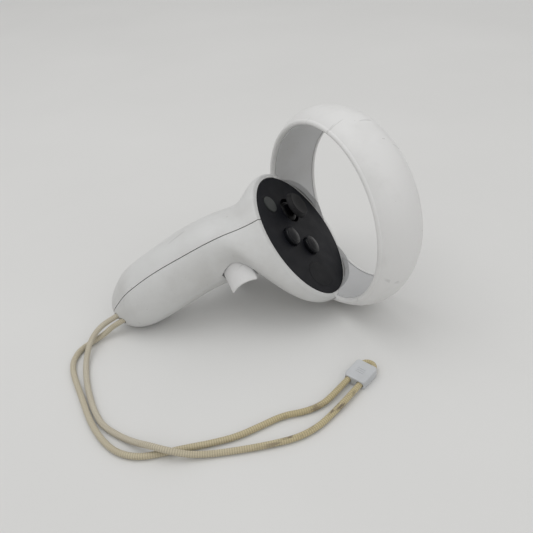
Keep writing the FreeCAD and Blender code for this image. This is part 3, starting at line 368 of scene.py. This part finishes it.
def woven_cord():
    """Beige braid: crossing strands, fine fibres, yellowed towards the lock, with dark stains there."""
    s = Shader("woven_cord", 0.85, specular=0.15)
    s.surface.inputs["Sheen Weight"].default_value = 0.25
    uv = s.node("ShaderNodeUVMap", uv_map="along_cord").outputs["UV"]
    fibres = s.noise(1.0, 3, (2600, 60, 1), place=uv)
    pale = s.ramp(fibres, list(zip((0.3, 0.7), PALE_THREAD)))
    yellow = s.ramp(fibres, list(zip((0.3, 0.7), YELLOW_THREAD)))
    along = s.node("ShaderNodeSeparateXYZ")
    s.link(uv, along.inputs["Vector"])
    share = s.node("ShaderNodeMath", operation="DIVIDE")
    s.link(along.outputs["X"], share.inputs[0])
    share.inputs[1].default_value = CORD_LENGTH
    aged = s.ramp(share.outputs["Value"], YELLOWING)
    stained = s.ramp(share.outputs["Value"], STAINING)
    streaks = s.ramp(s.noise(1.0, 3, (130, 2.4, 1), 0.6, place=uv), [(0.52, 0.0), (0.62, 0.85)])
    grime = s.ramp(s.noise(1.0, 3, (60, 3, 1), 0.6, place=uv), [(0.5, 0.0), (0.75, 0.3)])
    dyed = s.mix(grime, s.mix(aged, pale, yellow), GRIME)
    dirty = s.mix(s.mix(stained, (0, 0, 0), streaks), dyed, STAIN)
    weft = s.node("ShaderNodeTexWave")
    weft.inputs["Scale"].default_value = 2 * math.pi / (WAVE_RADIANS * WEFT_PITCH)
    s.link(uv, weft.inputs["Vector"])
    valleys = s.ramp(weft.outputs["Fac"], [(0.0, 0.45), (0.6, 0.0)])
    s.colour(s.mix(valleys, dirty, WEFT_SHADOW))
    s.bump([(fibres, 0.00008), (s.noise(5000, 2), 0.00004)])
    return s.material


def circuit_board():
    """Green board whose tracks stand out a little in both colour and height."""
    s = Shader("circuit_board", 0.35, coat=0.3)
    tracks = s.noise(420, 1)
    s.colour(s.ramp(tracks, [(0.48, (0.012, 0.07, 0.03)), (0.52, (0.02, 0.12, 0.05))]))
    s.bump([(tracks, 0.00003)])
    return s.material


MATERIALS = {
    "shell": shell_plastic("pale_shell", (0.645, 0.65, 0.645), (0.57, 0.57, 0.56), 0.42),
    # The ring's shell is the same pale plastic as the handle, toned lighter: painted light for the
    # brighter light on the ring's face.
    "ring_shell": shell_plastic("ring_shell", (0.745, 0.745, 0.74), (0.67, 0.67, 0.66), 0.36),
    # The ring's liner is the same pale plastic, toned darker: painted shade for the shadowed inside of
    # the ring.
    "ring_liner": shell_plastic("ring_liner", (0.62, 0.625, 0.63), (0.57, 0.57, 0.565), 0.36),
    "paddle": shell_plastic("grip_paddle", (0.72, 0.72, 0.72), (0.6, 0.6, 0.595), 0.4),
    "dark_frame": moulded_plastic("dark_frame", (0.012, 0.012, 0.013), 0.6, mottle=0.15,
                                  specular=0.25),
    "plate": moulded_plastic("control_plate", (0.0082, 0.0088, 0.0118), 0.46, grain=3600,
                             mottle=0.15, specular=0.12),
    "thumb_pad": moulded_plastic("thumb_pad", (0.0085, 0.009, 0.0112), 0.47, grain=1500,
                                 depth=0.00004, specular=0.12),
    "key": moulded_plastic("face_keys", (0.006, 0.0065, 0.0085), 0.28, mottle=0.2, specular=0.2),
    "menu_key": moulded_plastic("menu_key", (0.045, 0.049, 0.048), 0.42, mottle=0.12,
                                specular=0.3),
    "stick_rubber": moulded_plastic("stick_rubber", (0.011, 0.011, 0.012), 0.62, grain=1800,
                                    depth=0.00006, specular=0.25),
    "stick_gloss": moulded_plastic("stick_dome", (0.003, 0.003, 0.0035), 0.22, depth=0.000003,
                                   specular=0.12),
    "trigger": moulded_plastic("trigger", (0.014, 0.014, 0.015), 0.42, mottle=0.15, specular=0.3),
    "board": circuit_board(),
    "flex": moulded_plastic("flex_circuit", (0.3, 0.13, 0.03), 0.35),
    "emitter": moulded_plastic("emitter", (0.02, 0.015, 0.025), 0.1, depth=0.000003, coat=1.0),
    "steel": brushed_metal("spring_steel", (0.55, 0.55, 0.56)),
    "nickel": brushed_metal("nickel", (0.66, 0.63, 0.57), 0.25),
    "cell_wrap": moulded_plastic("cell_wrap", (0.03, 0.03, 0.035), 0.25, depth=0.000005, coat=0.5),
    "cord": woven_cord(),
    "lock": moulded_plastic("lanyard_lock", (0.53, 0.545, 0.56), 0.4, mottle=0.08),
}


def dress(piece, material):
    piece.data.materials.clear()
    piece.data.materials.append(material)


slot_of = {part["node"]: part["material_slot"] for part in frame["record"]["subparts"]}
for name, node in nodes.items():
    dress(node, MATERIALS[slot_of[name]])
dress(cord, MATERIALS["cord"])
# The band takes the liner's tone, with its painted shade.
dress(seal, MATERIALS["ring_liner"])
dress(ribs, MATERIALS["lock"])


# ---- stage ----
FLOOR_REACH = 3                               # metres each way
FLOOR_TONES = [(0.3, (0.69, 0.69, 0.68)), (0.7, (0.715, 0.715, 0.705))]
# The room is brighter overhead than at the horizon.
SKY, SKY_STRENGTH = [(0.0, (0.5, 0.487, 0.47)), (0.9, (1.0, 1.0, 1.0))], 0.83
LIT_POINT = Vector((0, 0, 0.03))              # both lights face it
KEY_LIGHT = {"at": Vector((-0.15, 0.2, 0.85)), "size": 0.6, "power": 1.3}
FILL_LIGHT = {"at": Vector((0.2, -0.75, 0.6)), "size": 0.8, "power": 0.95}


def add_floor():
    s = Shader("floor", 0.6, specular=0.3)
    s.colour(s.ramp(s.noise(6, 4), FLOOR_TONES))
    corners = [(x * FLOOR_REACH, y * FLOOR_REACH, 0) for x, y in ((-1, -1), (1, -1), (1, 1), (-1, 1))]
    floor = mesh_object("floor", corners, [(0, 1, 2, 3)])
    floor.data.materials.append(s.material)


def add_light(name, at, size, power):
    data = bpy.data.lights.new(name, "AREA")
    data.size, data.energy = size, power
    light = bpy.data.objects.new(name, data)
    scene.collection.objects.link(light)
    turn = (LIT_POINT - at).to_track_quat("-Z", "Y").to_matrix().to_4x4()
    light.matrix_world = Matrix.Translation(at) @ turn


def add_world():
    world = bpy.data.worlds.new("studio")
    world.use_nodes = True
    tree = world.node_tree
    height = tree.nodes.new("ShaderNodeSeparateXYZ")
    tree.links.new(tree.nodes.new("ShaderNodeTexCoord").outputs["Generated"], height.inputs["Vector"])
    ramp = tree.nodes.new("ShaderNodeValToRGB")
    for element, (at, colour) in zip(ramp.color_ramp.elements, SKY):
        element.position, element.color = at, (*colour, 1)
    tree.links.new(height.outputs["Z"], ramp.inputs["Fac"])
    tree.links.new(ramp.outputs["Color"], tree.nodes["Background"].inputs["Color"])
    tree.nodes["Background"].inputs["Strength"].default_value = SKY_STRENGTH
    scene.world = world
    scene.view_settings.view_transform = "Standard"


add_floor()
add_world()
add_light("key", **KEY_LIGHT)
add_light("fill", **FILL_LIGHT)
